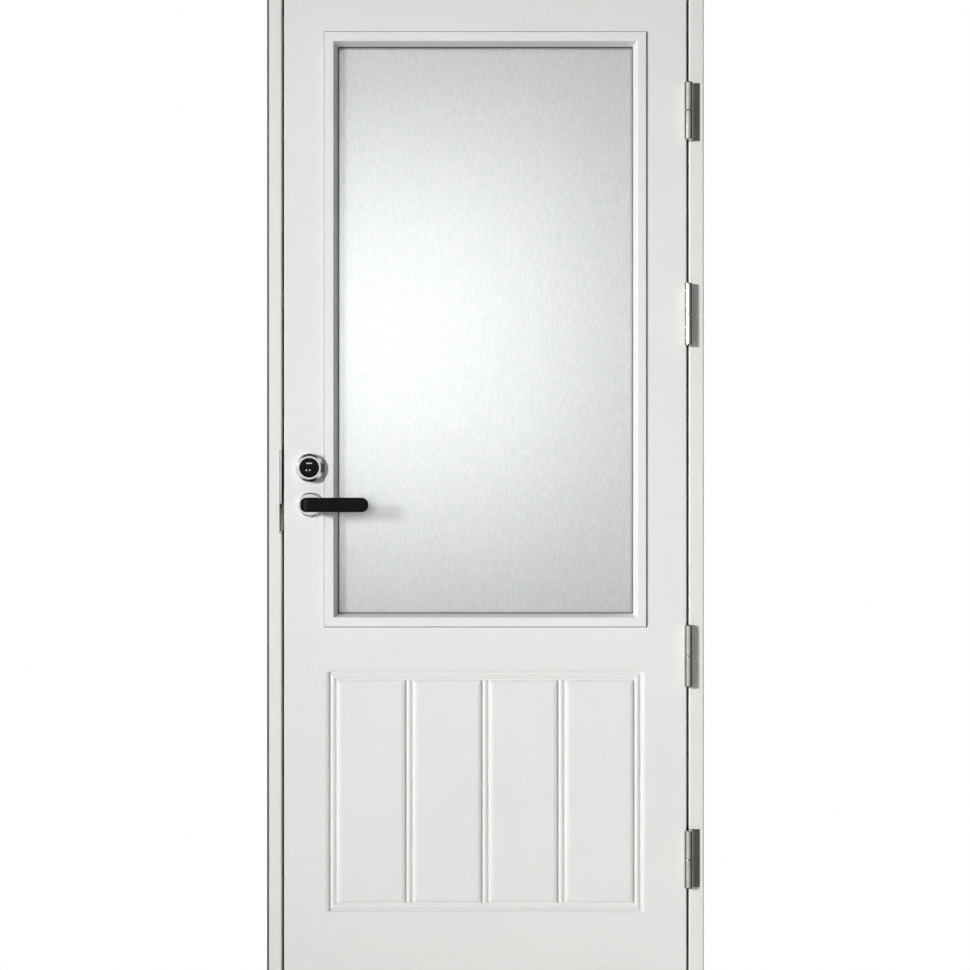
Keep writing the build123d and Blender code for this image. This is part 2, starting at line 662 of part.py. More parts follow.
def cylinder_ring():
    """The bevelled metal ring round the key cylinder, with a seat for its face."""
    seat = CYLINDER_FACE_RADIUS + CYLINDER_FACE_CLEARANCE
    floor = CYLINDER_RING_PROUD - CYLINDER_SEAT_DEPTH
    ring = turned(
        (0, 0), (CYLINDER_RING_RADIUS, 0),
        (CYLINDER_RING_RADIUS, CYLINDER_RING_PROUD - CYLINDER_RING_BEVEL_DEPTH),
        (CYLINDER_RING_RADIUS - CYLINDER_RING_BEVEL_WIDTH, CYLINDER_RING_PROUD),
        (seat, CYLINDER_RING_PROUD), (seat, floor), (0, floor),
    )
    return Pos(LEVER_X, FRONT, CYLINDER_Z) * Rot(90, 0, 0) * ring


def cylinder_face():
    """The dark face of the key cylinder with a plain keyway."""
    thick = CYLINDER_SEAT_DEPTH - CYLINDER_FACE_SET_BACK
    floor = CYLINDER_RING_PROUD - CYLINDER_SEAT_DEPTH
    disc = Pos(0, 0, floor + thick / 2) * Cylinder(CYLINDER_FACE_RADIUS, thick)
    keyway = Pos(0, KEYWAY_RISE, floor + thick - KEYWAY_DEPTH / 2) * Box(
        KEYWAY_WIDTH, KEYWAY_HEIGHT, KEYWAY_DEPTH
    )
    return Pos(LEVER_X, FRONT, CYLINDER_Z) * Rot(90, 0, 0) * (disc - keyway)


pieces = {
    "latch_jamb": latch_jamb(),
    "hinge_jamb": hinge_jamb(),
    "head": head(),
    "threshold": threshold(),
    "rebate_seal": rebate_seal(),
    "swelling_strips": swelling_strips(),
    "strike_plate": strike_plate(),
    "lock_stile": lock_stile(),
    "hinge_stile": hinge_stile(),
    "top_rail": rail(APERTURE_TOP, LEAF_TOP),
    "middle_rail": rail(MIDDLE_RAIL_BOTTOM, APERTURE_BOTTOM),
    "bottom_rail": rail(LEAF_BOTTOM, BOTTOM_RAIL_TOP),
    "core_panel": rail(BOTTOM_RAIL_TOP, MIDDLE_RAIL_BOTTOM),
    "front_skin": front_skin(),
    "back_skin": back_skin(),
    "fire_glass": fire_glass(),
    "front_glass_seal": glass_seal(),
    "back_glass_seal": to_back(glass_seal()),
    "lock_forend": lock_forend(),
    "latch_bolt": latch_bolt(),
    "front_rose": rose(),
    "back_rose": to_back(rose()),
    "front_cylinder_ring": cylinder_ring(),
    "back_cylinder_ring": to_back(cylinder_ring()),
    "front_cylinder_face": cylinder_face(),
    "back_cylinder_face": to_back(cylinder_face()),
    "front_lever": lever(),
    "back_lever": to_back(lever()),
    "spindle": spindle(),
}
for side, bead in front_beads().items():
    pieces[f"front_bead_{side}"] = bead
    pieces[f"back_bead_{side}"] = to_back(bead)
for place, (middle, length, radius, has_plate) in HINGES.items():
    pieces[f"{place}_hinge_frame_half"] = hinge_frame_half(middle, length, radius, has_plate)
    pieces[f"{place}_hinge_leaf_half"] = hinge_leaf_half(middle, length, radius)

os.makedirs("parts", exist_ok=True)
for name, piece in pieces.items():
    export_step(piece, f"parts/{name}.step")
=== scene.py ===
import math

import bmesh
import bpy
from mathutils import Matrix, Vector


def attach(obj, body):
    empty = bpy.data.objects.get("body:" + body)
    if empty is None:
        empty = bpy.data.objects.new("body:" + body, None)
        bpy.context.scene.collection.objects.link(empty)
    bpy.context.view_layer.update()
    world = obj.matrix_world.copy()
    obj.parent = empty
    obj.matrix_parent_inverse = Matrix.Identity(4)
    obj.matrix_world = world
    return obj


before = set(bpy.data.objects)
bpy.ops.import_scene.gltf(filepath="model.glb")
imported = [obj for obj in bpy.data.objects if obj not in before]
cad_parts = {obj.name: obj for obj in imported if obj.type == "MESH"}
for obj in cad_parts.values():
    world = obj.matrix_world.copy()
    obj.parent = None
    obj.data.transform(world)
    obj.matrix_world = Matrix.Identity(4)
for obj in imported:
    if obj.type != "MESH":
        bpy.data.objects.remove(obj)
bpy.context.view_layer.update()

# Jambs and head: planed pine, rebated, primed and finished with white alkyd paint.
# The paint is brushed along the length, so faint lines run that way under a satin film.
# The jambs stand the full height, and the head is cut square between them.


def linear(colour):
    """A sRGB hex colour as linear red, green, blue and alpha."""
    shares = [int(colour[i:i + 2], 16) / 255 for i in (1, 3, 5)]
    return [c / 12.92 if c <= 0.04045 else ((c + 0.055) / 1.055) ** 2.4 for c in shares] + [1]


def add(material, kind, values=None, **settings):
    """A shader node; each value goes on its socket, and a socket is linked."""
    tree = material.node_tree
    node = tree.nodes.new("ShaderNode" + kind)
    for name, setting in settings.items():
        setattr(node, name, setting)
    for name, value in (values or {}).items():
        if isinstance(value, bpy.types.NodeSocket):
            tree.links.new(value, node.inputs[name])
        else:
            node.inputs[name].default_value = value
    return node


def new_material(name):
    """An empty material with its Principled shader."""
    material = bpy.data.materials.new(name)
    material.use_nodes = True
    return material, material.node_tree.nodes["Principled BSDF"]


def wire(material, start, end):
    """A link from one socket to another."""
    material.node_tree.links.new(start, end)


def cover(material, *nodes):
    """The material on these CAD nodes."""
    for node in nodes:
        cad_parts[node].material_slots[0].material = material


def white_paint(name, colour, shade, lines_per_metre, film):
    """Satin white paint: the film's tone drifts a little, and its surface has fine lines and stipple."""
    paint, shader = new_material(name)
    place = add(paint, "TexCoord").outputs["Object"]
    drift = add(paint, "TexNoise", {"Vector": place, "Scale": 3.5, "Detail": 3.0, "Roughness": 0.6})
    tone = add(paint, "ValToRGB", {"Fac": drift.outputs["Fac"]})
    tone.color_ramp.elements[0].position = 0.3
    tone.color_ramp.elements[0].color = linear(shade)
    tone.color_ramp.elements[1].position = 0.7
    tone.color_ramp.elements[1].color = linear(colour)
    wire(paint, tone.outputs["Color"], shader.inputs["Base Color"])
    drawn = add(paint, "Mapping", {"Vector": place, "Scale": lines_per_metre})
    lines = add(paint, "TexNoise", {"Vector": drawn.outputs["Vector"], "Scale": 1.0, "Detail": 4.0})
    stipple = add(paint, "TexNoise", {"Vector": place, "Scale": 700.0, "Detail": 2.0})
    gloss = add(paint, "MapRange", {"Value": lines.outputs["Fac"], "From Min": 0.3, "From Max": 0.7,
                                    "To Min": 0.40, "To Max": 0.50})
    wire(paint, gloss.outputs["Result"], shader.inputs["Roughness"])
    brushed = add(paint, "Bump", {"Height": lines.outputs["Fac"], "Strength": 0.35, "Distance": film})
    stippled = add(paint, "Bump", {"Height": stipple.outputs["Fac"], "Strength": 0.4, "Distance": film,
                                   "Normal": brushed.outputs["Normal"]})
    wire(paint, stippled.outputs["Normal"], shader.inputs["Normal"])
    shader.inputs["IOR"].default_value = 1.5
    return paint


def line_in_paint(paint, share, colour):
    """A line of another colour in the paint, where the share is 1."""
    shader = paint.node_tree.nodes["Principled BSDF"]
    tone = shader.inputs["Base Color"].links[0].from_socket
    lined = add(paint, "Mix", {"Factor": share, "A": tone, "B": linear(colour)}, data_type="RGBA")
    wire(paint, lined.outputs["Result"], shader.inputs["Base Color"])


# Brush lines 1.5 mm apart across the jamb and 300 mm long down it
jamb_paint = white_paint("white_alkyd_paint_on_pine", "#EFEEEB", "#ECEBE8", (650, 650, 3.3), 0.00006)
# A dark line is painted along the outer arris as painted shade of the gap to the wall, wider on the latch
# side;
# each pair says where it begins and where it is full
shadow_gap_edges = ((-0.4403, -0.4409), (0.4434, 0.4440))
shadow_gap_depth = (-0.0535, -0.0545)
jamb_axes = add(jamb_paint, "SeparateXYZ", {"Vector": add(jamb_paint, "TexCoord").outputs["Object"]})
arrises = [add(jamb_paint, "MapRange", {"Value": jamb_axes.outputs["X"], "From Min": begins,
                                        "From Max": full}) for begins, full in shadow_gap_edges]
arris = add(jamb_paint, "Math", {0: arrises[0].outputs["Result"], 1: arrises[1].outputs["Result"]},
            operation="MAXIMUM")
front_edge = add(jamb_paint, "MapRange", {"Value": jamb_axes.outputs["Y"], "From Min": shadow_gap_depth[0],
                                          "From Max": shadow_gap_depth[1]})
shadow_gap_line = add(jamb_paint, "Math", {0: arris.outputs["Value"], 1: front_edge.outputs["Result"]},
             operation="MULTIPLY")
# Painted shade: the dark line along the outer front arrises
line_in_paint(jamb_paint, shadow_gap_line.outputs["Value"], "#454442")
cover(jamb_paint, "latch_jamb", "hinge_jamb")
head_paint = white_paint("white_alkyd_paint_on_head", "#EFEEEB", "#ECEBE8", (3.3, 650, 650), 0.00006)
cover(head_paint, "head")

# Threshold: one oak board with a low stop, lacquered clear.
# Long grain runs across the doorway, with darker pores and growth bands a few millimetres wide.
# It is screwed down between the jambs.
oak, oak_shader = new_material("lacquered_oak")
oak_place = add(oak, "TexCoord").outputs["Object"]
# Growth bands about 6 mm wide and half a metre long
along = add(oak, "Mapping", {"Vector": oak_place, "Scale": (2.0, 160.0, 160.0)})
bands = add(oak, "TexNoise", {"Vector": along.outputs["Vector"], "Scale": 1.0, "Detail": 5.0,
                              "Distortion": 0.4})
oak_tone = add(oak, "ValToRGB", {"Fac": bands.outputs["Fac"]})
oak_tone.color_ramp.elements[0].position = 0.32
oak_tone.color_ramp.elements[0].color = linear("#8A6238")
oak_tone.color_ramp.elements[1].position = 0.66
oak_tone.color_ramp.elements[1].color = linear("#BC935F")
# Pores 0.8 mm wide and 25 mm long
pore_place = add(oak, "Mapping", {"Vector": oak_place, "Scale": (40.0, 1250.0, 1250.0)})
pores = add(oak, "TexNoise", {"Vector": pore_place.outputs["Vector"], "Scale": 1.0, "Detail": 2.0})
pore_mask = add(oak, "MapRange", {"Value": pores.outputs["Fac"], "From Min": 0.58, "From Max": 0.7})
pored = add(oak, "Mix", {"Factor": pore_mask.outputs["Result"], "A": oak_tone.outputs["Color"],
                         "B": linear("#6B4A29")}, data_type="RGBA")
wire(oak, pored.outputs["Result"], oak_shader.inputs["Base Color"])
pitted = add(oak, "Bump", {"Height": pores.outputs["Fac"], "Strength": 0.3, "Distance": 0.0002})
wire(oak, pitted.outputs["Normal"], oak_shader.inputs["Normal"])
oak_shader.inputs["Roughness"].default_value = 0.42
oak_shader.inputs["Coat Weight"].default_value = 0.15
oak_shader.inputs["Coat Roughness"].default_value = 0.3
cover(oak, "threshold")

# Rebate seal: extruded black EPDM bulb, pressed by its stem into a groove in the stop.
# Rubber is matt, with a grey bloom and fine lines along the extrusion.
rubber, rubber_shader = new_material("black_epdm_rubber")
rubber_place = add(rubber, "TexCoord").outputs["Object"]
bloom = add(rubber, "TexNoise", {"Vector": rubber_place, "Scale": 60.0, "Detail": 4.0})
rubber_tone = add(rubber, "ValToRGB", {"Fac": bloom.outputs["Fac"]})
rubber_tone.color_ramp.elements[0].position = 0.35
rubber_tone.color_ramp.elements[0].color = linear("#161617")
rubber_tone.color_ramp.elements[1].position = 0.75
rubber_tone.color_ramp.elements[1].color = linear("#29292A")
wire(rubber, rubber_tone.outputs["Color"], rubber_shader.inputs["Base Color"])
# Extrusion grain about 0.8 mm
skin_grain = add(rubber, "TexNoise", {"Vector": rubber_place, "Scale": 1250.0, "Detail": 2.0})
rough_rubber = add(rubber, "Bump", {"Height": skin_grain.outputs["Fac"], "Strength": 0.4, "Distance": 0.0001})
wire(rubber, rough_rubber.outputs["Normal"], rubber_shader.inputs["Normal"])
rubber_shader.inputs["Roughness"].default_value = 0.65
rubber_shader.inputs["IOR"].default_value = 1.52
cover(rubber, "rebate_seal")

# Swelling strips: pressed graphite strips bedded flush in the rebate, which swell in a fire.
# The strip is matt grey-brown with darker graphite flecks under a millimetre across.
graphite, graphite_shader = new_material("pressed_graphite_strip")
graphite_place = add(graphite, "TexCoord").outputs["Object"]
flecks = add(graphite, "TexVoronoi", {"Vector": graphite_place, "Scale": 900.0})
fleck_tone = add(graphite, "ValToRGB", {"Fac": flecks.outputs["Distance"]})
fleck_tone.color_ramp.elements[0].position = 0.15
fleck_tone.color_ramp.elements[0].color = linear("#34322F")
fleck_tone.color_ramp.elements[1].position = 0.6
fleck_tone.color_ramp.elements[1].color = linear("#57534D")
wire(graphite, fleck_tone.outputs["Color"], graphite_shader.inputs["Base Color"])
flecked = add(graphite, "Bump", {"Height": flecks.outputs["Distance"], "Strength": 0.3, "Distance": 0.0002})
wire(graphite, flecked.outputs["Normal"], graphite_shader.inputs["Normal"])
graphite_shader.inputs["Roughness"].default_value = 0.75
cover(graphite, "swelling_strips")

# Strike plate: pressed sheet steel, zinc plated, let into the latch jamb with its lip round the arris.
# The lock front and latch in the leaf's edge are the same plated steel, ground along their length.
# Plating leaves a grey sheen with cloudy spots, and grinding leaves fine lines.


def ground_steel(name, bright, dull, roughness, lines_per_metre):
    """Steel with its grinding lines along one direction and a cloudy change of tone."""
    steel, shader = new_material(name)
    place = add(steel, "TexCoord").outputs["Object"]
    clouds = add(steel, "TexNoise", {"Vector": place, "Scale": 45.0, "Detail": 4.0})
    tone = add(steel, "ValToRGB", {"Fac": clouds.outputs["Fac"]})
    tone.color_ramp.elements[0].position = 0.35
    tone.color_ramp.elements[0].color = linear(dull)
    tone.color_ramp.elements[1].position = 0.7
    tone.color_ramp.elements[1].color = linear(bright)
    wire(steel, tone.outputs["Color"], shader.inputs["Base Color"])
    drawn = add(steel, "Mapping", {"Vector": place, "Scale": lines_per_metre})
    lines = add(steel, "TexNoise", {"Vector": drawn.outputs["Vector"], "Scale": 1.0, "Detail": 3.0})
    sheen = add(steel, "MapRange", {"Value": lines.outputs["Fac"], "From Min": 0.3, "From Max": 0.7,
                                    "To Min": roughness * 0.8, "To Max": roughness * 1.25})
    wire(steel, sheen.outputs["Result"], shader.inputs["Roughness"])
    scored = add(steel, "Bump", {"Height": lines.outputs["Fac"], "Strength": 0.15, "Distance": 0.00005})
    wire(steel, scored.outputs["Normal"], shader.inputs["Normal"])
    shader.inputs["Metallic"].default_value = 1.0
    return steel


# Grinding lines 0.5 mm apart, coarser than real ones so that they show
plated_steel = ground_steel("zinc_plated_steel", "#B4B4B1", "#9C9C99", 0.34, (2000, 2000, 60))
cover(plated_steel, "strike_plate", "lock_forend", "latch_bolt", "spindle")

# Hinges: turned steel barrels on plates let into jamb and leaf, satin nickel plated.
# The barrels are polished round, so their lines run round the pin, and the tone is warm grey.
nickel = ground_steel("satin_nickel_on_steel", "#D8D5CE", "#C8C5BE", 0.1, (60, 60, 2500))
for place in ("top", "upper", "lower", "bottom"):
    cover(nickel, f"{place}_hinge_frame_half", f"{place}_hinge_leaf_half")

# Leaf carcass and skins: a pine frame between two moulded boards, sprayed white as one leaf.
# Sprayed paint has no brush lines, only an orange peel under 2 mm across and a faint wave,
# 3 mm wide and 25 mm tall.
sprayed = ("#EFEFED", "#ECECEA", (300, 300, 40), 0.00004)
edge_paint = white_paint("white_sprayed_paint_on_pine", *sprayed)
cover(edge_paint, "lock_stile", "hinge_stile", "top_rail", "middle_rail", "bottom_rail", "core_panel")
skin_paint = white_paint("white_sprayed_paint_on_moulded_board", *sprayed)
cover(skin_paint, "front_skin", "back_skin")

# Glazing beads: moulded pine lengths mitred at the corners and pinned over the edge of the pane.
# They are painted like the leaf, and the paint's faint lines follow the moulding.
upright_bead_paint = white_paint("white_paint_on_upright_beads", "#F1F1EF", "#EEEEEC", (900, 900, 6), 0.00003)
level_bead_paint = white_paint("white_paint_on_level_beads", "#F1F1EF", "#EEEEEC", (6, 900, 900), 0.00003)
for face in ("front", "back"):
    cover(upright_bead_paint, f"{face}_bead_left", f"{face}_bead_right")
    cover(level_bead_paint, f"{face}_bead_top", f"{face}_bead_bottom")
# A dark hairline is painted on the skins round the beads, as painted shade in the joint along the bead edges
bead_shade_width = 0.0012
bead_corners = [corner for side in ("left", "right", "top", "bottom")
                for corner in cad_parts[f"front_bead_{side}"].bound_box]
skin_axes = add(skin_paint, "SeparateXYZ", {"Vector": add(skin_paint, "TexCoord").outputs["Object"]})
past_beads = []
for number, axis in ((0, "X"), (2, "Z")):
    near, far = (pick(corner[number] for corner in bead_corners) for pick in (min, max))
    offset = add(skin_paint, "Math", {0: skin_axes.outputs[axis], 1: (near + far) / 2}, operation="SUBTRACT")
    reach = add(skin_paint, "Math", {0: offset.outputs["Value"]}, operation="ABSOLUTE")
    past = add(skin_paint, "Math", {0: reach.outputs["Value"], 1: (far - near) / 2}, operation="SUBTRACT")
    past_beads.append(past.outputs["Value"])
furthest = add(skin_paint, "Math", {0: past_beads[0], 1: past_beads[1]}, operation="MAXIMUM")
bead_shade_line = add(skin_paint, "MapRange", {"Value": furthest.outputs["Value"], "From Min": 1.2 * bead_shade_width,
                                        "From Max": 0.8 * bead_shade_width})
# Painted shade: the dark hairline round the beads
line_in_paint(skin_paint, bead_shade_line.outputs["Result"], "#555451")

# Pane: laminated fire glass, etched to an even satin that hides what is behind it.
# Etching scatters the light, so the pane looks pale grey and carries one broad soft glow.
glass, glass_shader = new_material("etched_fire_glass")
glass_place = add(glass, "TexCoord").outputs["Object"]
# Faint etching strokes, 5 mm wide and 14 mm tall
streak_place = add(glass, "Mapping", {"Vector": glass_place, "Scale": (200.0, 200.0, 70.0)})
streaks = add(glass, "TexNoise", {"Vector": streak_place.outputs["Vector"], "Scale": 1.0, "Detail": 5.0})
glass_tone = add(glass, "ValToRGB", {"Fac": streaks.outputs["Fac"]})
glass_tone.color_ramp.elements[0].position = 0.3
glass_tone.color_ramp.elements[0].color = linear("#C2C6C3")
glass_tone.color_ramp.elements[1].position = 0.7
glass_tone.color_ramp.elements[1].color = linear("#D2D4D2")
wire(glass, glass_tone.outputs["Color"], glass_shader.inputs["Base Color"])
glass_rough = add(glass, "MapRange", {"Value": streaks.outputs["Fac"], "From Min": 0.3, "From Max": 0.7,
                                      "To Min": 0.47, "To Max": 0.53})
wire(glass, glass_rough.outputs["Result"], glass_shader.inputs["Roughness"])
# Etch grain about 0.7 mm, coarser than the real one so that it shows
etch = add(glass, "TexNoise", {"Vector": glass_place, "Scale": 1400.0, "Detail": 2.0})
rolled = add(glass, "Bump", {"Height": streaks.outputs["Fac"], "Strength": 0.05, "Distance": 0.0001})
etched = add(glass, "Bump", {"Height": etch.outputs["Fac"], "Strength": 0.1, "Distance": 0.00003,
                             "Normal": rolled.outputs["Normal"]})
wire(glass, etched.outputs["Normal"], glass_shader.inputs["Normal"])
glass_shader.inputs["IOR"].default_value = 1.52
glass_shader.inputs["Transmission Weight"].default_value = 0.6
cover(glass, "fire_glass")

# Glass seals: dark ceramic-fibre tape between pane and bead, showing as a thin line.
# The tape is matt and faintly fibrous.
tape, tape_shader = new_material("dark_ceramic_fibre_tape")
tape_place = add(tape, "TexCoord").outputs["Object"]
fibres = add(tape, "TexNoise", {"Vector": tape_place, "Scale": 900.0, "Detail": 3.0, "Distortion": 1.5})
tape_tone = add(tape, "ValToRGB", {"Fac": fibres.outputs["Fac"]})
tape_tone.color_ramp.elements[0].color = linear("#202124")
tape_tone.color_ramp.elements[1].color = linear("#3A3B3F")
wire(tape, tape_tone.outputs["Color"], tape_shader.inputs["Base Color"])
fibrous = add(tape, "Bump", {"Height": fibres.outputs["Fac"], "Strength": 0.4, "Distance": 0.0001})
wire(tape, fibrous.outputs["Normal"], tape_shader.inputs["Normal"])
tape_shader.inputs["Roughness"].default_value = 0.8
cover(tape, "front_glass_seal", "back_glass_seal")

# Roses and cylinder rings: turned brass, polished and chrome plated.
# Bright chrome mirrors the room, with a faint haze of wiping marks.
chrome, chrome_shader = new_material("bright_chrome_plate")
chrome_place = add(chrome, "TexCoord").outputs["Object"]
wiping = add(chrome, "TexNoise", {"Vector": chrome_place, "Scale": 180.0, "Detail": 3.0, "Distortion": 0.6})
chrome_rough = add(chrome, "MapRange", {"Value": wiping.outputs["Fac"], "From Min": 0.35, "From Max": 0.7,
                                        "To Min": 0.05, "To Max": 0.12})
wire(chrome, chrome_rough.outputs["Result"], chrome_shader.inputs["Roughness"])
chrome_tone = add(chrome, "ValToRGB", {"Fac": wiping.outputs["Fac"]})
chrome_tone.color_ramp.elements[0].color = linear("#D5D7D9")
chrome_tone.color_ramp.elements[1].color = linear("#DDDFE0")
wire(chrome, chrome_tone.outputs["Color"], chrome_shader.inputs["Base Color"])
chrome_shader.inputs["Metallic"].default_value = 1.0
cover(chrome, "front_rose", "back_rose", "front_cylinder_ring", "back_cylinder_ring")

# Cylinder faces: blackened steel discs pressed into the rings, with a plain keyway.
# The blacking is even and slightly glossy, with fine turning marks.
blacking, blacking_shader = new_material("blackened_steel")
blacking_place = add(blacking, "TexCoord").outputs["Object"]
turning = add(blacking, "TexNoise", {"Vector": blacking_place, "Scale": 600.0, "Detail": 3.0})
blacking_tone = add(blacking, "ValToRGB", {"Fac": turning.outputs["Fac"]})
blacking_tone.color_ramp.elements[0].color = linear("#08080A")
blacking_tone.color_ramp.elements[1].color = linear("#131316")
wire(blacking, blacking_tone.outputs["Color"], blacking_shader.inputs["Base Color"])
turned_marks = add(blacking, "Bump", {"Height": turning.outputs["Fac"], "Strength": 0.15,
                                      "Distance": 0.00005})
wire(blacking, turned_marks.outputs["Normal"], blacking_shader.inputs["Normal"])
blacking_shader.inputs["Roughness"].default_value = 0.2
blacking_shader.inputs["Specular IOR Level"].default_value = 0.08
cover(blacking, "front_cylinder_face", "back_cylinder_face")

# Keyway insert and pins: bright steel seen in each cylinder face, pressed in from behind.
# A rounded bar fills the keyway just under the face, and two small pin heads stand below it.
leaf_front, leaf_middle = -0.0575, -0.0275
face_x, face_z, face_proud = -0.357, 1.075, 0.0172
face_front = leaf_front - face_proud
bar_size, bar_easing, bar_inset, bar_rise = (0.0124, 0.0030, 0.0024), 0.0005, 0.0004, 0.009
pin_radius, pin_proud, pin_seat = 0.0016, 0.0006, 0.0004
pin_places = ((-0.0052, -0.0051), (0.0014, -0.0051))


def smooth_mesh(form, name):
    """A mesh from the form, smooth but for its sharp edges, as an object."""
    sharp_angle = math.radians(40)
    bmesh.ops.recalc_face_normals(form, faces=form.faces)
    for face in form.faces:
        face.smooth = True
    mesh = bpy.data.meshes.new(name)
    form.to_mesh(mesh)
    form.free()
    mesh.set_sharp_from_angle(angle=sharp_angle)
    piece = bpy.data.objects.new(name, mesh)
    bpy.context.collection.objects.link(piece)
    return piece


def turned_heads(form, places, turn, profile, lobes=0, lobed_from=0):
    """Turned heads from a profile of radius and height; rings from lobed_from on are lobed."""
    steps, lobe_depth = 36, 0.16
    for place in places:
        rings = []
        for number, (radius, height) in enumerate(profile):
            ring = []
            for step in range(steps):
                angle = 2 * math.pi * step / steps
                swell = lobe_depth * math.cos(lobes * angle) if lobes and number >= lobed_from else 0
                reach = radius * (1 + swell)
                spot = Vector((reach * math.cos(angle), reach * math.sin(angle), height))
                ring.append(form.verts.new(Vector(place) + turn @ spot))
            rings.append(ring)
        for low, high in zip(rings, rings[1:]):
            for step in range(steps):
                after = (step + 1) % steps
                form.faces.new((low[step], low[after], high[after], high[step]))
        form.faces.new(rings[0])
        form.faces.new(rings[-1])


insert_steel = ground_steel("bright_drawn_steel", "#D2D2CF", "#C2C2BF", 0.22, (900, 900, 900))
for side, face_y, outward in (("front", face_front, -1), ("back", 2 * leaf_middle - face_front, 1)):
    insert = bmesh.new()
    bmesh.ops.create_cube(insert, size=1.0)
    bmesh.ops.scale(insert, vec=bar_size, verts=insert.verts)
    bmesh.ops.bevel(insert, geom=insert.edges[:], offset=bar_easing, segments=3, affect="EDGES")
    bar_middle = Vector((face_x, face_y - outward * (bar_inset + bar_size[1] / 2), face_z + bar_rise))
    bmesh.ops.translate(insert, vec=bar_middle, verts=insert.verts)
    pin_turn = Vector((0, outward, 0)).to_track_quat("Z", "Y").to_matrix()
    pin_spots = [(face_x + x, face_y, face_z + z) for x, z in pin_places]
    turned_heads(insert, pin_spots, pin_turn, (
        (pin_radius, -pin_seat), (pin_radius, 0.5 * pin_proud), (0.8 * pin_radius, 0.85 * pin_proud),
        (0.4 * pin_radius, pin_proud)))
    keyway = smooth_mesh(insert, f"{side}_keyway_insert")
    keyway.data.materials.append(insert_steel)
    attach(keyway, "leaf")

# Screws: zinc-plated raised countersunk heads with six-lobed recesses.
# Four hold each hinge plate, three the strike plate and two the lock front.
screw_steel = ground_steel("zinc_plated_screws", "#B9B8B2", "#A3A29C", 0.3, (1500, 1500, 1500))
screw_radius = 0.0046
screw_profile = [(screw_radius * r, screw_radius * h) for r, h in (
    (1.0, -0.05), (1.0, 0.02), (0.93, 0.09), (0.75, 0.15), (0.52, 0.18), (0.40, 0.18), (0.34, 0.05))]


def screws(name, places, outward, body):
    """Screw heads at these places on a plate that faces outward."""
    heads = bmesh.new()
    turn = Vector(outward).to_track_quat("Z", "Y").to_matrix()
    turned_heads(heads, places, turn, screw_profile, lobes=6, lobed_from=5)
    piece = smooth_mesh(heads, name)
    piece.data.materials.append(screw_steel)
    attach(piece, body)


rebate_x, leaf_x = 0.415, 0.410
hinge_screws = ((-0.042, 0.013), (-0.015, 0.024), (0.015, 0.013), (0.042, 0.024))
for place, hinge_z in (("top", 1.80), ("upper", 1.387), ("lower", 0.693), ("bottom", 0.28)):
    for body, plate_x, outward in (("frame", rebate_x, -1), ("leaf", leaf_x, 1)):
        spots = [(plate_x, leaf_front + inset, hinge_z + up) for up, inset in hinge_screws]
        screws(f"{place}_hinge_{body}_screws", spots, (outward, 0, 0), body)
strike_spots = ((-0.0215, 0.955), (-0.034, 1.046), (-0.034, 1.098))
screws("strike_screws", [(-rebate_x, y, z) for y, z in strike_spots], (1, 0, 0), "frame")
# The lock edge is bevelled 3 mm in 60, and the lock front lies in that slope
leaf_thickness, edge_bevel = 0.060, 0.003
lock_front_z, lock_screw_reach = 1.0375, 0.1035
lock_spots = [(edge_bevel / 2 - leaf_x, leaf_middle, lock_front_z + up)
              for up in (-lock_screw_reach, lock_screw_reach)]
screws("lock_front_screws", lock_spots, (-leaf_thickness, edge_bevel, 0), "leaf")

# Levers: zinc castings bent back to their necks, powder coated satin black.
# Powder coat has a fine even peel and a soft sheen on its rounded edges.
powder, powder_shader = new_material("satin_black_powder_coat")
powder_place = add(powder, "TexCoord").outputs["Object"]
# Peel about 0.9 mm across
peel = add(powder, "TexNoise", {"Vector": powder_place, "Scale": 1100.0, "Detail": 2.0})
powder_tone = add(powder, "ValToRGB", {"Fac": peel.outputs["Fac"]})
powder_tone.color_ramp.elements[0].color = linear("#0A0A0C")
powder_tone.color_ramp.elements[1].color = linear("#131316")
wire(powder, powder_tone.outputs["Color"], powder_shader.inputs["Base Color"])
peeled = add(powder, "Bump", {"Height": peel.outputs["Fac"], "Strength": 0.2, "Distance": 0.00006})
wire(powder, peeled.outputs["Normal"], powder_shader.inputs["Normal"])
powder_shader.inputs["Roughness"].default_value = 0.38
powder_shader.inputs["Specular IOR Level"].default_value = 0.06
cover(powder, "front_lever", "back_lever")

# Floor: a plain pale studio floor that takes the door's soft shadow in front of it.
# It fades into the white of the backdrop behind the door and a step away from it.
floor_radius, floor_drop = 4.0, 0.0005
floor_mesh = bpy.data.meshes.new("studio_floor")
floor_form = bmesh.new()
bmesh.ops.create_circle(floor_form, cap_ends=True, radius=floor_radius, segments=96)
floor_form.to_mesh(floor_mesh)
floor_form.free()
floor = bpy.data.objects.new("studio_floor", floor_mesh)
bpy.context.collection.objects.link(floor)
floor.location = (0, 0, -floor_drop)
ground, ground_shader = new_material("pale_studio_floor")
ground_place = add(ground, "TexCoord").outputs["Object"]
mottle = add(ground, "TexNoise", {"Vector": ground_place, "Scale": 6.0, "Detail": 3.0})
ground_tone = add(ground, "ValToRGB", {"Fac": mottle.outputs["Fac"]})
ground_tone.color_ramp.elements[0].color = linear("#E4E4E2")
ground_tone.color_ramp.elements[1].color = linear("#EBEBE9")
wire(ground, ground_tone.outputs["Color"], ground_shader.inputs["Base Color"])
ground_shader.inputs["Roughness"].default_value = 0.7
ground_axes = add(ground, "SeparateXYZ", {"Vector": ground_place})
behind = add(ground, "MapRange", {"Value": ground_axes.outputs["Y"], "From Min": -0.3, "From Max": 0.11})
from_middle = add(ground, "VectorMath", {0: ground_place}, operation="LENGTH")
rim = add(ground, "MapRange", {"Value": from_middle.outputs["Value"], "From Min": 0.5, "From Max": 1.9})
faded_out = add(ground, "Math", {0: behind.outputs["Result"], 1: rim.outputs["Result"]}, operation="MAXIMUM")
least_white = 0.45
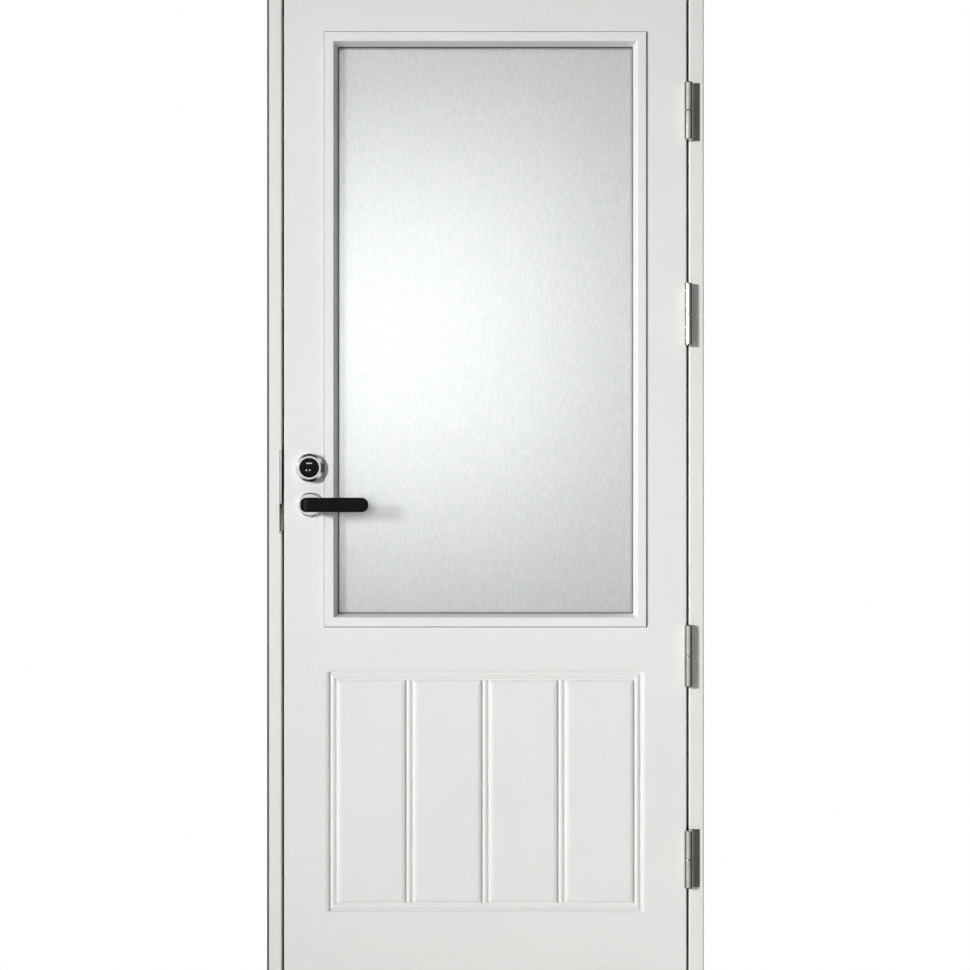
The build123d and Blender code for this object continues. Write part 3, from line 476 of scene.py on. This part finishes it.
fade = add(ground, "Math", {0: faded_out.outputs["Value"], 1: least_white}, operation="MAXIMUM")
ray = add(ground, "LightPath")
seen = add(ground, "Math", {0: ray.outputs["Is Camera Ray"], 1: fade.outputs["Value"]}, operation="MULTIPLY")
backdrop = add(ground, "Emission", {"Color": linear("#FFFFFF"), "Strength": 1.0})
faded = add(ground, "MixShader", {0: seen.outputs["Value"], 1: ground_shader.outputs["BSDF"],
                                  2: backdrop.outputs["Emission"]})
wire(ground, faded.outputs["Shader"], ground.node_tree.nodes["Material Output"].inputs["Surface"])
floor_mesh.materials.append(ground)
# Metal near the floor mirrors the same studio as metal higher up
floor.visible_glossy = False

# Room: a white backdrop all round as seen directly, and a low even fill for everything else.
# Metal mirrors a white wall behind the door and a dim studio in front of it, with a tall white
# card each side of the camera and a dark gap between them.
world = bpy.data.worlds.new("studio_room")
bpy.context.scene.world = world
world.use_nodes = True
room = world.node_tree.nodes["Background"]
facing = add(world, "SeparateXYZ", {"Vector": add(world, "TexCoord").outputs["Generated"]})
wall = add(world, "MapRange", {"Value": facing.outputs["Y"], "From Min": 0.3, "From Max": 0.6})
# Each card's two edges are given as where it is still dark and where it is white
cards = []
for inner_edge, outer_edge in (((0.1, 0.04), (-0.9, -0.8)), ((0.28, 0.34), (0.62, 0.52))):
    edges = [add(world, "MapRange", {"Value": facing.outputs["X"], "From Min": dark, "From Max": white})
             for dark, white in (inner_edge, outer_edge)]
    card = add(world, "Math", {0: edges[0].outputs["Result"], 1: edges[1].outputs["Result"]},
               operation="MULTIPLY")
    cards.append(card.outputs["Value"])
both_cards = add(world, "Math", {0: cards[0], 1: cards[1]}, operation="ADD")
height = add(world, "Math", {0: facing.outputs["Z"]}, operation="ABSOLUTE")
card_top = add(world, "MapRange", {"Value": height.outputs["Value"], "From Min": 0.65, "From Max": 0.45})
shown = add(world, "Math", {0: both_cards.outputs["Value"], 1: card_top.outputs["Result"]},
            operation="MULTIPLY")
bright = add(world, "Math", {0: wall.outputs["Result"], 1: shown.outputs["Value"]}, operation="MAXIMUM")
mirror_level = add(world, "MapRange", {"Value": bright.outputs["Value"], "To Min": 0.08, "To Max": 0.95})
room_ray = add(world, "LightPath")
mirrored = add(world, "Math", {0: room_ray.outputs["Is Glossy Ray"],
                               1: room_ray.outputs["Is Transmission Ray"]}, operation="MAXIMUM")
fill_level, backdrop_level = 0.085, 1.0
fill = add(world, "Mix", {"Factor": mirrored.outputs["Value"], "A": fill_level,
                          "B": mirror_level.outputs["Result"]})
level = add(world, "Mix", {"Factor": room_ray.outputs["Is Camera Ray"], "A": fill.outputs["Result"],
                           "B": backdrop_level})
wire(world, level.outputs["Result"], room.inputs["Strength"])
room.inputs["Color"].default_value = linear("#FFFFFF")

# Lamps: a softbox high beside the camera, a far one with a honeycomb on the left that rakes
# across the mouldings, one behind that glows through the pane, one behind on the right for
# the back and the hinge side, and a narrow strip straight above for the top.


def softbox(name, place, target, size, power):
    """A rectangular lamp at a place, turned to its target."""
    lamp = bpy.data.lights.new(name, "AREA")
    lamp.shape = "RECTANGLE"
    lamp.size, lamp.size_y = size
    lamp.energy = power
    stand = bpy.data.objects.new(name, lamp)
    bpy.context.collection.objects.link(stand)
    stand.location = place
    stand.rotation_euler = (Vector(target) - Vector(place)).to_track_quat("-Z", "Y").to_euler()
    return stand


softbox("softbox_by_camera", (-0.41, -3.56, 1.85), (0, 0, 1.0), (1.2, 0.9), 7)
honeycomb_spread = math.radians(58)
raking = softbox("softbox_on_left", (-4.9, -5.4, 2.2), (2.0, 0, 0.9), (1.1, 1.1), 61)
raking.data.spread = honeycomb_spread
for name, place, size, power in (("softbox_behind_pane", (-0.36, 3.0, 1.61), (1.5, 1.4), 27.5),
                                 ("softbox_behind_right", (3.3, 2.5, 1.7), (1.3, 1.2), 75),
                                 ("strip_above", (0, 0, 3.4), (1.6, 0.1), 14)):
    unseen = softbox(name, place, (0, 0, 1.2), size, power)
    unseen.visible_camera = unseen.visible_glossy = False

# Camera: square on to the door, 3.5 m off its front face, framing 1.976 m across it.
# It looks level from the middle of the framed height, so that uprights stay parallel.
stand_off, framed_width = 3.5, 1.976
framed_middle_x, framed_middle_z = -0.0007, 1.04
eye = bpy.data.cameras.new("front_camera")
eye.sensor_width = 36.0
eye.lens = eye.sensor_width * stand_off / framed_width
camera = bpy.data.objects.new("front_camera", eye)
bpy.context.collection.objects.link(camera)
camera.location = (framed_middle_x, leaf_front - stand_off, framed_middle_z)
camera.rotation_euler = (math.pi / 2, 0, 0)
bpy.context.scene.camera = camera
bpy.context.scene.view_settings.view_transform = "Standard"
